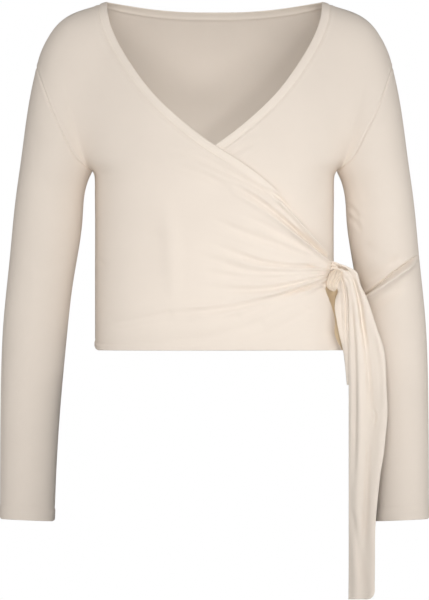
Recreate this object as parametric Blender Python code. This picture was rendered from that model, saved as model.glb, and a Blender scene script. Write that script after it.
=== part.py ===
"""Cropped wrap top in thin jersey: V neck with a folded band, long sleeves, and an over front
drawn to a knot at the wearer's left side.

It keeps its worn, hollow form. Sizes are in millimetres. +X is the wearer's left, +Y the
wearer's back and +Z up. The origin lies midway between the shoulder neck points.
Each piece is a closed thin wall: a grid over the worn form, with a skin on either side of it.
"""

import bpy
import numpy as np

MM = 0.001
FRONT = 0
BACK = 1

WALL = 1.2             # cloth of a panel
TIE_WALL = 2.0         # folded cloth of the long tie
SEAM = 0.3             # gap where two pieces meet
BAND_STAND = 0.8       # how far the folded band stands over the panels beside it
LAYER = 2.8            # from the under front up to the over front
BAND_WIDTH = 10.0
BAND_WIDTH_AT_KNOT = 4.0
BAND_NARROWS_Z = (-325.0, -265.0)
HEM_Z = -434.0
UNDERARM_Z = -210.0
CUFF_OUTER_Z = -643.0
CUFF_INNER_Z = -647.5
CLOTH_COLOUR = (0.807, 0.716, 0.617, 1.0)

# Half outline from the neck over the shoulder and down the sleeve's outer side.
OUTLINE = np.array([
    # half width, height
    (0.0, 34.0), (33.5, 31.5), (67.0, 23.5), (134.4, 1.2), (160.0, -6.7), (174.0, -11.5),
    (187.5, -18.8), (197.5, -27.5), (207.5, -41.5), (215.0, -56.5), (222.5, -80.5),
    (231.3, -121.3), (241.9, -196.3), (248.8, -246.3), (256.3, -321.3), (263.8, -396.3),
    (267.3, -496.0), (267.9, -650.0)])

# Body: half width, and how far the cloth stands in front of and behind the shoulder plane.
BODY = np.array([
    # height, half width, front, back
    (-440.0, 149.0, 94.0, 80.0), (-380.0, 149.0, 93.0, 75.0), (-325.0, 149.0, 96.0, 73.0),
    (-260.0, 149.0, 107.0, 78.0), (-234.0, 149.2, 112.0, 81.0), (-220.0, 149.4, 114.0, 82.0),
    (-214.0, 150.4, 115.0, 82.5), (-210.0, 152.5, 116.0, 83.0),
    (-203.0, 158.5, 117.0, 84.0), (-190.0, 165.0, 117.5, 85.0), (-160.0, 174.0, 119.0, 87.0),
    (-110.0, 186.0, 121.0, 90.0), (-60.0, 195.0, 124.0, 92.0), (10.0, 204.0, 126.0, 94.0)])

# Half width that shapes the middle of the front and back. It widens more gently towards the
# shoulders than the sides do, so no ridge runs across from underarm to underarm.
MIDDLE = np.array([
    # height, half width
    (-440.0, 149.0), (-310.0, 149.4), (-260.0, 152.0), (-210.0, 159.0), (-160.0, 170.0),
    (-110.0, 182.0), (-60.0, 193.0), (10.0, 204.0)])
MIDDLE_TO_SIDE_X = (80.0, 146.0)

# Sleeve: inner edge, roundness of its section, and how far its middle swings back.
SLEEVE = np.array([
    # height, inner edge, depth over half width, swing back
    (-650.0, 200.0, 0.92, -8.0), (-596.0, 198.1, 0.93, -4.0), (-496.0, 191.9, 0.96, 3.0),
    (-421.0, 185.0, 0.98, 6.0), (-346.0, 176.3, 1.0, 6.0), (-271.0, 165.0, 1.02, 2.0),
    (-221.0, 157.5, 1.04, 0.0), (-210.0, 152.5, 1.05, 0.0), (-203.0, 149.5, 1.05, 0.0),
    (-180.0, 146.0, 1.06, 0.0),
    (-100.0, 139.0, 1.08, 0.0), (-20.0, 100.0, 1.08, 0.0), (10.0, 70.0, 1.08, 0.0)])

# Armhole seam, from the underarm up to the outer side of a dropped shoulder.
ARMHOLE = np.array([
    # height, half width
    (-210.0, 152.5), (-196.3, 169.4), (-172.0, 184.4), (-147.5, 196.9), (-114.4, 210.6),
    (-80.5, 222.5)])

# Free edge of a front: own shoulder, V at the middle, then across to the far side.
WRAP_EDGE = np.array([
    # height, sideways towards the front's own side
    (-330.0, -144.5), (-325.0, -142.3), (-317.5, -137.5), (-291.0, -120.0), (-265.0, -99.6),
    (-246.0, -85.5), (-226.0, -67.0), (-207.5, -44.0), (-192.5, -21.9), (-178.8, 0.0), (-143.8, 45.6),
    (-116.3, 74.4), (-82.5, 100.6), (-49.4, 120.6), (-25.0, 130.6), (-10.0, 133.6),
    (1.2, 134.4)])

# Back neck edge, from the middle to the shoulder neck point.
BACK_NECK = np.array([
    # sideways, height
    (0.0, -11.3), (35.0, -10.9), (65.6, -8.9), (96.9, -5.0), (120.0, -1.2), (134.4, 1.2)])

# Fronts: every row of one runs from its side seam to its free edge.
OVER_COLUMNS = 20
UNDER_COLUMNS = 16
ARMHOLE_STEPS = 14          # rows of every panel over the underarm, and half a sleeve's ring
EDGE_BEND_Z = -205.0        # free edge height that is level with the underarm's row
OVER_EDGE_START_Z = -329.5
OVER_SIDE_STOPS = (-404.0, -262.0)      # side heights of the first gathered row and the knot's
OVER_ROWS = (5, 14, 7)
UNDER_EDGE_START_Z = -309.0
UNDER_FAR_SEAM_TOP_Z = -326.0           # where the under front's far side meets its free edge
UNDER_SIDE_STOP = -330.0
UNDER_ROWS = (4, 5)
LAYER_CHANGE_X = 125.0      # the fronts change places in depth between the two sides

UNDERARM_EASE = 0.3         # wider seam gap where four pieces meet under the arm
UNDERARM_EASE_REACH = 8.0
SEAM_BOW_FADES = 0.08       # share of the sleeve over which its rings lose the seam's bow
NECK_ROLL = (7.2, 8.2)      # depth gained near the shoulder line, per root millimetre of drop
SECTION_POWER = 2.6         # squareness of the body's section
BLEND_POWER = 4.0           # how sharply the sleeve parts from the body above the underarm

# Where the over front is caught under the knot, sideways and up.
GATHER_TOP = (-141.5, -334.0)

# Over front's side edge, from the hem to the lowest gathered fold.
SIDE_EDGE = np.array([
    # height, sideways, flare away from the body
    (-434.0, -145.5, 5.5), (-414.0, -144.5, 0.0), (-396.0, -143.8, 0.0), (-384.0, -141.2, 0.0),
    (-357.0, -135.5, 0.0)])

FLARE_X = (100.0, 148.0)    # where that flare starts and is full

# Creases of the over front. Each runs from its start through a bend to the knot.
KNOT_POINT = (147.0, -337.0)
CREASES = np.array([
    # start x, start z, bend x, bend z, end x, end z, depth, width at start, width at end
    (-60.0, -182.0, 50.0, -222.0, 144.0, -330.0, 3.0, 9.0, 4.0),
    (-8.0, -216.0, 62.0, -252.0, 144.0, -333.0, 2.4, 7.0, 3.5),
    (-14.0, -264.0, 66.0, -300.0, 142.0, -338.0, 1.8, 9.0, 4.0),
    (-12.0, -298.0, 55.0, -330.0, 140.0, -341.0, 2.0, 8.0, 3.5),
    (-26.0, -352.0, 60.0, -368.0, 141.0, -347.0, 1.8, 9.0, 3.5),
    (-118.0, -396.0, 60.0, -388.0, 142.0, -350.0, 3.2, 9.0, 4.0),
    (20.0, -394.0, 90.0, -378.0, 140.0, -355.0, 2.0, 8.0, 3.5)])
GATHER_LIFT = 4.5           # how far the gathered cloth stands off near the knot
GATHER_REACH = 120.0
LOWEST_CREASE = -0.6

# Bend of the wearer's left elbow: a ridge with a trough over it, across the sleeve's front.
ELBOW_AT = 0.42             # share of the way down the sleeve
ELBOW_OUTER_Z = -318.0
ELBOW_INNER_Z = -372.0
ELBOW_RIDGE = 2.5
ELBOW_TROUGH = 3.5
ELBOW_WIDTH = 6.0
ELBOW_TROUGH_ABOVE = 10.0
ELBOW_CLOSE_RINGS = (0.35, 0.47)
BENT_SLEEVE_ROWS = (6, 8, 8)
STRAIGHT_SLEEVE_RINGS = 18

# Long tie, from the knot over and down: its lower or left edge, its upper or right edge, how
# far forward it hangs, and the depth of its folds.
LONG_TIE = np.array([
    # left x, left z, right x, right z, y, fold depth
    (152.8, -332.3, 149.7, -323.6, -44.2, 0.0), (158.8, -335.6, 158.1, -326.3, -51.0, 0.5),
    (159.8, -342.5, 169.4, -330.6, -55.5, 1.0), (163.8, -352.5, 176.9, -335.6, -57.5, 1.4),
    (166.2, -365.0, 180.9, -346.3, -58.0, 1.8), (167.0, -381.0, 190.0, -365.0, -57.0, 2.0),
    (167.3, -399.0, 198.0, -384.0, -56.0, 2.2), (167.4, -419.0, 205.6, -409.0, -55.0, 2.4),
    (167.4, -441.0, 213.1, -440.0, -54.0, 2.5), (167.4, -496.0, 214.4, -496.0, -53.5, 2.4),
    (167.4, -534.0, 214.4, -534.0, -53.0, 2.2), (167.4, -571.0, 211.9, -571.0, -53.0, 2.0),
    (167.4, -609.0, 205.8, -609.0, -53.0, 1.8), (167.4, -652.0, 200.6, -652.0, -53.0, 1.8),
    (167.2, -696.0, 200.2, -696.0, -53.0, 1.6), (165.0, -743.0, 199.4, -741.0, -53.0, 1.4)])

FOLD_TURNS = 3.4            # half waves of fold across the long tie

# Short tie: the fold turned behind, the left edge and the right edge, from the knot down.
SHORT_TIE = np.array([
    # height, back x, back y, left x, left y, right x, right y
    (-338.0, 155.0, -44.0, 157.0, -49.0, 158.6, -51.0),
    (-346.0, 152.6, -34.0, 156.2, -49.0, 160.8, -51.5),
    (-358.0, 150.6, -20.0, 155.4, -49.0, 164.0, -52.0),
    (-372.0, 149.6, -12.0, 151.2, -48.0, 165.2, -52.5),
    (-384.0, 149.6, -10.0, 150.4, -47.0, 165.8, -51.5),
    (-396.0, 149.5, -10.0, 151.2, -47.0, 166.2, -50.5),
    (-412.0, 149.6, -11.0, 154.8, -46.0, 166.4, -50.0),
    (-427.0, 151.4, -13.0, 158.6, -45.0, 166.5, -49.5),
    (-441.0, 155.6, -18.0, 161.2, -45.0, 166.6, -49.0),
    (-458.0, 161.8, -33.0, 163.2, -46.0, 166.8, -49.0),
    (-476.0, 165.0, -43.0, 165.2, -47.0, 167.0, -49.0)])

# Knot: width of the wound turn at each height, its half depth and its middle.
KNOT = np.array([
    # height, left x, right x, half depth, y
    (-333.3, 150.0, 153.5, 1.8, -48.4), (-335.5, 147.5, 155.8, 3.4, -50.2),
    (-341.0, 143.8, 155.9, 5.2, -55.2), (-349.0, 141.8, 154.0, 6.0, -61.0),
    (-356.0, 140.9, 152.5, 5.5, -63.0), (-360.0, 142.5, 151.0, 4.0, -62.6),
    (-362.0, 145.5, 149.0, 2.0, -62.0)])
KNOT_RINGS = 13
KNOT_SIDES = 16


def smooth(stations, values, at):
    """Natural cubic curve through a table's column, read at the given places."""
    order = np.argsort(stations)
    s = np.asarray(stations, float)[order]
    v = np.asarray(values, float)[order]
    step = np.diff(s)
    slope = np.diff(v) / step
    system = np.eye(len(s))
    right = np.zeros(len(s))
    for i in range(1, len(s) - 1):
        system[i, i - 1:i + 2] = (step[i - 1], 2 * (step[i - 1] + step[i]), step[i])
        right[i] = 6 * (slope[i] - slope[i - 1])
    bend = np.linalg.solve(system, right)
    at = np.clip(at, s[0], s[-1])
    i = np.clip(np.searchsorted(s, at) - 1, 0, len(s) - 2)
    h = step[i]
    a = (s[i + 1] - at) / h
    b = (at - s[i]) / h
    cubic = ((a ** 3 - a) * bend[i] + (b ** 3 - b) * bend[i + 1]) * h ** 2 / 6
    return a * v[i] + b * v[i + 1] + cubic


def outline_curve():
    """The half outline as a dense run of points, its length as the parameter."""
    length = np.append(0, np.cumsum(np.hypot(*np.diff(OUTLINE, axis=0).T)))
    at = np.linspace(0, length[-1], 600)
    return smooth(length, OUTLINE[:, 0], at), smooth(length, OUTLINE[:, 1], at)


OUTLINE_X, OUTLINE_Z = outline_curve()


def outer_x(z):
    return np.interp(-z, -OUTLINE_Z, OUTLINE_X)


def ridge_z(x):
    return np.interp(x, OUTLINE_X, OUTLINE_Z)


def step_up(value, low, high):
    """0 below low, 1 above high, with a smooth rise between."""
    t = np.clip((value - low) / (high - low), 0, 1)
    return t * t * (3 - 2 * t)


def depth(x, z, side):
    """How far the cloth stands from the shoulder plane, in front or behind."""
    x = np.abs(x)
    inset = np.maximum(outer_x(z) - x, 0)
    drop = np.maximum(ridge_z(x) - z, 0)
    roll = inset * drop / np.maximum(np.hypot(inset, drop), 1e-9)
    inner = smooth(SLEEVE[:, 0], SLEEVE[:, 1], z)
    sleeve = smooth(SLEEVE[:, 0], SLEEVE[:, 2], z) * np.sqrt(roll * np.maximum(x - inner, 0))
    middle = smooth(MIDDLE[:, 0], MIDDLE[:, 1], z)
    half = smooth(BODY[:, 0], BODY[:, 1], z)
    half = middle + (half - middle) * step_up(x, *MIDDLE_TO_SIDE_X)
    chest = smooth(BODY[:, 0], BODY[:, 2 + side], z)
    fall = np.maximum(NECK_ROLL[side] * np.sqrt(drop), 1e-6)
    profile = (chest ** -6.0 + fall ** -6.0) ** (-1 / 6)
    across = np.maximum(1 - np.minimum(x / half, 1) ** SECTION_POWER, 0) ** (1 / SECTION_POWER)
    return ((profile * across) ** BLEND_POWER + sleeve ** BLEND_POWER) ** (1 / BLEND_POWER)


def form(x, z, side, edge=None):
    """Points of the worn form and its outward normals. Where edge is true the cloth turns
    from front to back, so it lies in the shoulder plane, half a seam gap from it."""
    reach = 1.5
    y = depth(x, z, side)
    slope_x = (depth(x + reach, z, side) - depth(x - reach, z, side)) / (2 * reach)
    slope_z = (depth(x, z + reach, side) - depth(x, z - reach, side)) / (2 * reach)
    normal = np.stack([-slope_x, np.ones_like(y), -slope_z], axis=-1)
    if edge is not None:
        y = np.where(edge, 0, y)
        normal[..., 1] = np.where(edge, 0, normal[..., 1])
    normal /= np.linalg.norm(normal, axis=-1, keepdims=True)
    underarm = np.hypot(np.abs(x) - ARMHOLE[0, 1], z - UNDERARM_Z) < 0.01
    normal[underarm] = (0, 0, -1)
    facing = -1 if side == FRONT else 1
    arm = np.abs(x) > smooth(SLEEVE[:, 0], SLEEVE[:, 1], z) - 1
    swing = np.where(arm & (z < UNDERARM_Z), smooth(SLEEVE[:, 0], SLEEVE[:, 3], z), 0)
    normal[..., 1] *= facing
    return np.stack([x, facing * (y + SEAM / 2) + swing, z], axis=-1), normal


def material(name):
    cloth = bpy.data.materials.new(name)
    cloth.use_nodes = True
    shader = cloth.node_tree.nodes["Principled BSDF"]
    shader.inputs["Base Color"].default_value = CLOTH_COLOUR
    shader.inputs["Roughness"].default_value = 0.85
    shader.inputs["Metallic"].default_value = 0.0
    return cloth


def add_object(name, points, faces):
    """One closed body from points in millimetres, its faces turned outwards."""
    points = np.asarray(points) * MM
    a, b, c = (points[[face[i] for face in faces]] for i in range(3))
    d = points[[face[-1] for face in faces]]
    volume = np.sum(a * np.cross(b, c)) + np.sum(a * np.cross(c, d))
    if volume < 0:
        faces = [face[::-1] for face in faces]
    mesh = bpy.data.meshes.new(name)
    mesh.from_pydata(points.tolist(), [], faces)
    mesh.materials.append(material(name + "_cloth"))
    mesh.shade_smooth()
    mesh.set_sharp_from_angle(angle=np.radians(50))
    bpy.context.collection.objects.link(bpy.data.objects.new(name, mesh))


def wall(name, points, normals, inner, outer, tube=False):
    """A thin closed solid: two skins at the given heights over a grid, joined at its rim.
    A tube's grid also closes on itself across its columns."""
    rows, columns = points.shape[:2]
    inner = np.broadcast_to(inner, (rows, columns))[..., None]
    outer = np.broadcast_to(outer, (rows, columns))[..., None]
    skins = np.concatenate([points + normals * outer, points + normals * inner])
    count = rows * columns
    last = columns if tube else columns - 1
    faces = []

    def at(row, column, skin):
        return skin * count + row * columns + column % columns

    for i in range(rows - 1):
        for j in range(last):
            faces.append((at(i, j, 0), at(i, j + 1, 0), at(i + 1, j + 1, 0), at(i + 1, j, 0)))
            faces.append((at(i, j, 1), at(i + 1, j, 1), at(i + 1, j + 1, 1), at(i, j + 1, 1)))
    for j in range(last):
        faces.append((at(0, j + 1, 0), at(0, j, 0), at(0, j, 1), at(0, j + 1, 1)))
        end = rows - 1
        faces.append((at(end, j, 0), at(end, j + 1, 0), at(end, j + 1, 1), at(end, j, 1)))
    if not tube:
        for i in range(rows - 1):
            faces.append((at(i, 0, 0), at(i + 1, 0, 0), at(i + 1, 0, 1), at(i, 0, 1)))
            faces.append((at(i + 1, last, 0), at(i, last, 0), at(i, last, 1), at(i + 1, last, 1)))
    add_object(name, skins.reshape(-1, 3), faces)


def grid_normals(points):
    """Unit normals of a grid from the run of its rows and columns."""
    down = np.gradient(points, axis=0)
    along = np.gradient(points, axis=1)
    normal = np.cross(down, along)
    return normal / np.linalg.norm(normal, axis=-1, keepdims=True)


def chain(stops, counts, ease_last=False):
    """Values that run evenly from stop to stop, closer together at the very end if eased."""
    parts = []
    for i, count in enumerate(counts):
        t = np.arange(count) / count
        if ease_last and i == len(counts) - 1:
            t = 1 - (1 - t) ** 2
        parts.append(stops[i] + (stops[i + 1] - stops[i]) * t)
    return np.append(np.concatenate(parts), stops[-1])


def armhole_heights():
    """Heights along the armhole seam, closest at its two ends. Panels and sleeves share them."""
    turn = np.pi * np.arange(ARMHOLE_STEPS + 1) / ARMHOLE_STEPS
    return UNDERARM_Z + (ARMHOLE[-1, 0] - UNDERARM_Z) * (1 - np.cos(turn)) / 2


def edge_inset(x, z, side, width):
    """Move a free edge's points inwards over the worn form by a width, square to the edge.
    The last point lies on the shoulder line and moves along it."""
    points, normals = form(x, z, side)
    points[-1, 1] = 0
    along = np.gradient(points, axis=0)
    inwards = np.cross(along, normals)
    inwards[-1] = (1, 0, ridge_z(x[-1] + 5) / 5 - ridge_z(x[-1]) / 5)
    if inwards[0, 2] > 0:
        inwards[:-1] *= -1
    inwards /= np.linalg.norm(inwards, axis=-1, keepdims=True)
    x = x + inwards[:, 0] * width
    z = z + inwards[:, 2] * width
    z[-1] = ridge_z(x[-1])
    return x, z


def side_x(z):
    """Half width of a body panel: the side seam, then the armhole seam over the underarm."""
    armhole = smooth(ARMHOLE[:, 0], ARMHOLE[:, 1], z)
    return np.where(z > UNDERARM_Z, armhole, smooth(BODY[:, 0], BODY[:, 1], z))


def crease_relief(x, z):
    """How far the over front stands off its form: lifted near the knot, and cut by creases
    whose depth grows from their soft start and fades at the knot."""
    from_knot = np.hypot(x - KNOT_POINT[0], z - KNOT_POINT[1])
    lift = GATHER_LIFT * np.exp(-(from_knot / GATHER_REACH) ** 2)
    deepest = np.zeros(x.shape)
    for x0, z0, x1, z1, x2, z2, deep, wide, narrow in CREASES:
        nearest = np.full(x.shape, 1e9)
        cut = np.zeros(x.shape)
        for t in np.linspace(0, 1, 25):
            cx = (1 - t) ** 2 * x0 + 2 * t * (1 - t) * x1 + t * t * x2
            cz = (1 - t) ** 2 * z0 + 2 * t * (1 - t) * z1 + t * t * z2
            away = np.hypot(x - cx, z - cz)
            width = wide + (narrow - wide) * t
            here = deep * min(1, 3 * t) * (1 - t ** 6) * np.exp(-(away / width) ** 2)
            cut = np.where(away < nearest, here, cut)
            nearest = np.minimum(away, nearest)
        deepest = np.maximum(deepest, cut)
    return np.maximum(lift - deepest, LOWEST_CREASE)


def front_rows(over):
    """Rows of a front from hem to shoulder: heights at its side, heights of its free edge, and
    how many rows lie under that edge. The over front gathers its middle rows at the knot."""
    if over:
        counts = OVER_ROWS
        start = OVER_EDGE_START_Z
        sides = chain((HEM_Z, *OVER_SIDE_STOPS, UNDERARM_Z), counts)
    else:
        counts = UNDER_ROWS
        start = UNDER_EDGE_START_Z
        sides = chain((HEM_Z, UNDER_SIDE_STOP, UNDERARM_Z), counts)
    edge_z = chain((start, EDGE_BEND_Z, WRAP_EDGE[-1, 0]), (counts[-1], ARMHOLE_STEPS), True)
    return np.append(sides[:-1], armhole_heights()), edge_z, counts[:-1]


def band_width(z):
    """Width of the neckband, which narrows towards the knot."""
    full = step_up(z, *BAND_NARROWS_Z)
    return BAND_WIDTH_AT_KNOT + (BAND_WIDTH - BAND_WIDTH_AT_KNOT) * full


def layer(x, over):
    """The two fronts share a side seam at either side, so one eases over the other."""
    across = step_up(x, -LAYER_CHANGE_X, LAYER_CHANGE_X)
    return LAYER * across if over else -LAYER * (1 - across)


def front(name, own, over):
    """A front panel: straight rows from its side to its free edge, bowed at the shoulder."""
    sides, edge_z, low_counts = front_rows(over)
    edge_x = smooth(WRAP_EDGE[:, 0], WRAP_EDGE[:, 1], edge_z)
    free_x, free_z = edge_inset(edge_x, edge_z, FRONT, band_width(edge_z) + SEAM)
    if over:
        free_x[0], free_z[0] = GATHER_TOP
        gather_x, gather_z = SIDE_EDGE[-1, 1], SIDE_EDGE[-1, 0]
        low_z = chain((HEM_Z, gather_z, GATHER_TOP[1]), low_counts)[:-1]
        low_x = smooth(SIDE_EDGE[:, 0], SIDE_EDGE[:, 1], low_z)
        up = np.maximum(low_z - gather_z, 0) / (GATHER_TOP[1] - gather_z)
        low_x = low_x + (GATHER_TOP[0] - gather_x) * up
    else:
        low_z = chain((HEM_Z, UNDER_FAR_SEAM_TOP_Z), low_counts)[:-1]
        low_x = -smooth(BODY[:, 0], BODY[:, 1], low_z)
    free_x = np.concatenate([low_x, free_x])
    free_z = np.concatenate([low_z, free_z])
    turn = (1 - np.cos(np.pi * np.linspace(0, 1, OVER_COLUMNS if over else UNDER_COLUMNS))) / 2
    side = side_x(sides)[:, None]
    x = side + (free_x[:, None] - side) * turn
    z = sides[:, None] + (free_z - sides)[:, None] * turn
    rise = np.linspace(0, 1, len(sides))[:, None] ** 3
    z = z + (ridge_z(x[-1]) - z[-1]) * rise
    edge = np.zeros(x.shape, bool)
    edge[-1] = True
    edge[sides <= UNDERARM_Z, 0] = True
    if not over:
        edge[:len(low_z), -1] = True
    points, normals = form(x * own, z, FRONT, edge)
    lift = layer(points[..., 0], over)
    if over:
        lift = lift + crease_relief(points[..., 0], z) * step_up(turn, 0, 0.1)
        flare = np.maximum(smooth(SIDE_EDGE[:, 0], SIDE_EDGE[:, 2], z), 0)
        lift = lift + flare * step_up(points[..., 0], *FLARE_X)
    wall(name, points, normals, lift - WALL, lift)


def front_band(name, own, over):
    """The folded strip along a front's free edge, up to the shoulder line."""
    edge_z = front_rows(over)[1]
    edge_x = smooth(WRAP_EDGE[:, 0], WRAP_EDGE[:, 1], edge_z)
    lines = [edge_inset(edge_x, edge_z, FRONT, band_width(edge_z) * t) for t in (0, 0.5, 1)]
    x = np.stack([line[0] for line in lines], axis=1)
    z = np.stack([line[1] for line in lines], axis=1)
    edge = np.zeros(x.shape, bool)
    edge[-1] = True
    points, normals = form(x * own, z, FRONT, edge)
    lift = layer(points[..., 0], over)
    if over:
        lift = lift + crease_relief(points[..., 0], z)
    wall(name, points, normals, lift - WALL, lift + BAND_STAND)


def back_neck_edge(width):
    """Half of the back neck edge, moved down over the back by a width."""
    across = BACK_NECK[-1, 0] * (1 - (1 - np.linspace(0, 1, 11)) ** 2)
    height = smooth(BACK_NECK[:, 0], BACK_NECK[:, 1], across)
    return edge_inset(across, height, BACK, width)


def mirrored(half):
    """A half row from the middle outwards, made whole from side to side."""
    x, z = half
    return np.concatenate([-x[:0:-1], x]), np.concatenate([z[:0:-1], z])


def back_band():
    lines = [mirrored(back_neck_edge(BAND_WIDTH * t)) for t in (0, 0.5, 1)]
    x = np.stack([line[0] for line in lines], axis=1)
    z = np.stack([line[1] for line in lines], axis=1)
    edge = np.zeros(x.shape, bool)
    edge[0] = True
    edge[-1] = True
    points, normals = form(x, z, BACK, edge)
    wall("neckband_back", points, normals, -WALL, BAND_STAND)


def back():
    """The back panel: columns fan from the hem to the shoulder lines and the neckband."""
    neck_x, neck_z = back_neck_edge(BAND_WIDTH + SEAM)
    shoulder = np.linspace(neck_x[-1], ARMHOLE[-1, 1], 7)[1:]
    top_x, top_z = mirrored((np.append(neck_x, shoulder), np.append(neck_z, ridge_z(shoulder))))
    heights = np.append(np.linspace(HEM_Z, UNDERARM_Z, 9)[:-1], armhole_heights())
    side = side_x(heights)
    share = top_x / top_x[-1]
    hem_share = np.sin(np.arcsin(np.clip(share, -1, 1)) * 0.5 + share * np.pi / 4)
    t = np.linspace(0, 1, len(heights))[:, None]
    mix = step_up(t, 0.2, 0.9)
    x = side[:, None] * (hem_share * (1 - mix) + share * mix)
    z = heights[:, None] + (top_z - top_z[-1]) * t ** 3
    edge = np.zeros(x.shape, bool)
    edge[-1] = np.abs(top_x) >= neck_x[-1] - 0.01
    edge[heights <= UNDERARM_Z, 0] = True
    edge[heights <= UNDERARM_Z, -1] = True
    points, normals = form(x, z, BACK, edge)
    wall("back", points, normals, -WALL, 0)


def sleeve(name, own, bent):
    """A sleeve: rings from the slanting armhole seam, level by the cuff. A bent one has its
    rings closer at the elbow, where a ridge lies under a trough."""
    if bent:
        down = chain((0, *ELBOW_CLOSE_RINGS, 1), BENT_SLEEVE_ROWS)
    else:
        down = np.linspace(0, 1, STRAIGHT_SLEEVE_RINGS)
    stops = (0, ELBOW_AT, 1)
    outer_z = smooth(stops, (ARMHOLE[-1, 0], ELBOW_OUTER_Z, CUFF_OUTER_Z), down)
    inner_z = smooth(stops, (UNDERARM_Z, ELBOW_INNER_Z, CUFF_INNER_Z), down)
    outer = outer_x(outer_z)
    inner = smooth(SLEEVE[:, 0], SLEEVE[:, 1], inner_z)
    turn = np.pi * np.arange(2 * ARMHOLE_STEPS) / ARMHOLE_STEPS
    across = (1 - np.cos(turn)) / 2
    x = inner[:, None] + (outer - inner)[:, None] * across
    z = inner_z[:, None] + (outer_z - inner_z)[:, None] * across
    seam_bow = side_x(z[0]) - x[0]
    x = x + seam_bow * np.exp(-(down / SEAM_BOW_FADES) ** 2)[:, None]
    edge = np.zeros(x.shape, bool)
    edge[:, 0] = True
    edge[:, ARMHOLE_STEPS] = True
    front_half, front_normals = form(x, z, FRONT, edge)
    back_half, back_normals = form(x, z, BACK, edge)
    behind = (turn > np.pi + 0.01)[:, None]
    points = np.where(behind, back_half, front_half)
    normals = np.where(behind, back_normals, front_normals)
    points[..., 1] += np.where(edge, SEAM / 2, 0)
    seam_run = np.roll(points[0], -1, axis=0) - np.roll(points[0], 1, axis=0)
    away = np.cross(seam_run, normals[0])
    away /= np.linalg.norm(away, axis=-1, keepdims=True)
    away *= np.sign(away @ (1, 0, -1))[:, None]
    ease = SEAM + UNDERARM_EASE * np.exp(-((z[0] - UNDERARM_Z) / UNDERARM_EASE_REACH) ** 2)
    points[0] += ease[:, None] * away
    lift = np.zeros(x.shape)
    if bent:
        past = (down - ELBOW_AT) * (ELBOW_OUTER_Z - CUFF_OUTER_Z) / (1 - ELBOW_AT)
        facing = np.maximum(np.sin(turn), 0)
        ridge = ELBOW_RIDGE * np.exp(-(past / ELBOW_WIDTH) ** 2)
        above = past + ELBOW_TROUGH_ABOVE
        trough = ELBOW_TROUGH * np.exp(-(above / ELBOW_WIDTH) ** 2)
        lift = (ridge - trough)[:, None] * facing
    points[..., 0] *= own
    normals[..., 0] *= own
    wall(name, points, normals, lift - WALL, lift, tube=True)


def long_tie():
    """The long tie: comes over the knot, turns down and hangs free, with two soft folds."""
    rows = np.arange(len(LONG_TIE))
    at = np.linspace(0, rows[-1], 32)
    lx, lz, rx, rz, y, wave = (smooth(rows, column, at)[:, None] for column in LONG_TIE.T)
    t = np.linspace(0, 1, 10)
    x = lx + (rx - lx) * t
    z = lz + (rz - lz) * t
    bow = wave * np.cos(FOLD_TURNS * np.pi * t)
    points = np.stack([x, y + bow, z], axis=-1)
    wall("tie_long", points, grid_normals(points), -TIE_WALL / 2, TIE_WALL / 2)


def short_tie():
    """The short tie: its left part turns behind, and it hangs to a point."""
    at = np.linspace(SHORT_TIE[0, 0], SHORT_TIE[-1, 0], 18)
    bx, by, lx, ly, rx, ry = (smooth(SHORT_TIE[:, 0], c, at)[:, None] for c in SHORT_TIE.T[1:])
    t = np.linspace(0, 1, 5)
    fold_x = bx + (lx - bx) * t
    fold_y = by + (ly - by) * t
    face_x = lx + (rx - lx) * t[1:]
    face_y = ly + (ry - ly) * t[1:]
    x = np.concatenate([fold_x, face_x], axis=1)
    y = np.concatenate([fold_y, face_y], axis=1)
    z = np.broadcast_to(at[:, None], x.shape)
    points = np.stack([x, y, z], axis=-1)
    wall("tie_short", points, grid_normals(points), -WALL / 2, WALL / 2)


def knot():
    """The turn of cloth round the gathered point: oval rings from top to bottom."""
    at = np.linspace(KNOT[0, 0], KNOT[-1, 0], KNOT_RINGS)
    left, right, half_depth, middle = (smooth(KNOT[:, 0], c, at)[:, None] for c in KNOT.T[1:])
    turn = np.linspace(0, 2 * np.pi, KNOT_SIDES, endpoint=False)
    x = (left + right) / 2 + (right - left) / 2 * np.cos(turn)
    y = middle + half_depth * np.sin(turn)
    z = np.broadcast_to(at[:, None], x.shape)
    points = np.stack([x, y, z], axis=-1).reshape(-1, 3)
    ring = np.arange(KNOT_SIDES)
    faces = [tuple(ring[::-1]), tuple(ring + (KNOT_RINGS - 1) * KNOT_SIDES)]
    for i in range(KNOT_RINGS - 1):
        low = i * KNOT_SIDES + ring
        high = low + KNOT_SIDES
        faces.extend(zip(low, np.roll(low, -1), np.roll(high, -1), high))
    add_object("knot", points, [tuple(map(int, face)) for face in faces])


def build():
    for old in list(bpy.data.objects):
        bpy.data.objects.remove(old)
    back()
    front("front_left", own=1, over=False)
    front("front_right", own=-1, over=True)
    front_band("neckband_left", own=1, over=False)
    front_band("neckband_right", own=-1, over=True)
    back_band()
    sleeve("sleeve_right", own=-1, bent=False)
    sleeve("sleeve_left", own=1, bent=True)
    knot()
    short_tie()
    long_tie()


build()
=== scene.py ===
"""Cropped wrap top in fine cream jersey: a V neck with a folded band, long sleeves, and an over
front drawn to a knot at the wearer's left side. It keeps its worn, hollow form.

Sizes are in millimetres, and MM turns them into metres where a mesh is made. +X is the wearer's
left, +Y the wearer's back, +Z up. The origin lies midway between the shoulder neck points.
"""

import bpy
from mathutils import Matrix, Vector
import numpy as np


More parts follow.
